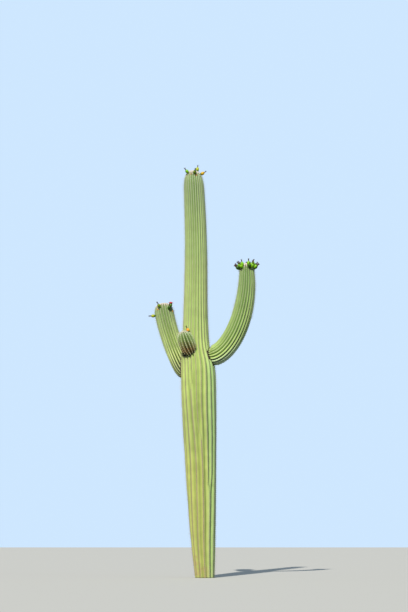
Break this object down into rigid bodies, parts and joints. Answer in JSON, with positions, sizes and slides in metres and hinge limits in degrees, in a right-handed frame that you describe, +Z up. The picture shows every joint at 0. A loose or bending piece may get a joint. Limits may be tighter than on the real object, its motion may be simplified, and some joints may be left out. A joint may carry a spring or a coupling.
{
  "type": "saguaro cactus",
  "caption": "Tall columnar desert cactus with a ribbed, spiny trunk, upcurved side arms, a young round arm in front and fruit crowning the tips.",
  "frame": {"origin": "middle of the flat cut where the trunk leaves level ground", "axes": "+Z up the trunk; +Y runs from the front, where the young round arm is, to the back; +X towards the long right arm"},
  "size_m": [1.498, 0.8205, 5.482],
  "materials": {
    "trunk_skin": "waxy green skin, yellower low down and greyer towards the tip",
    "arm_skin": "waxy sage green skin",
    "young_skin": "dull dark green skin under dense spines",
    "spines": "dry straw and grey-brown spines",
    "wool": "pale felted wool of the spine cushions and the growing tips",
    "fruit": "smooth green fruit, some ripening yellow, orange and red",
    "dried_flower": "dry dark brown withered flower"
  },
  "bodies": {
    "root": {"trunk": "trunk_skin", "right_arm_elbow": "arm_skin", "right_arm_upper": "arm_skin", "left_arm": "arm_skin", "front_arm": "young_skin"}
  },
  "joints": []
}
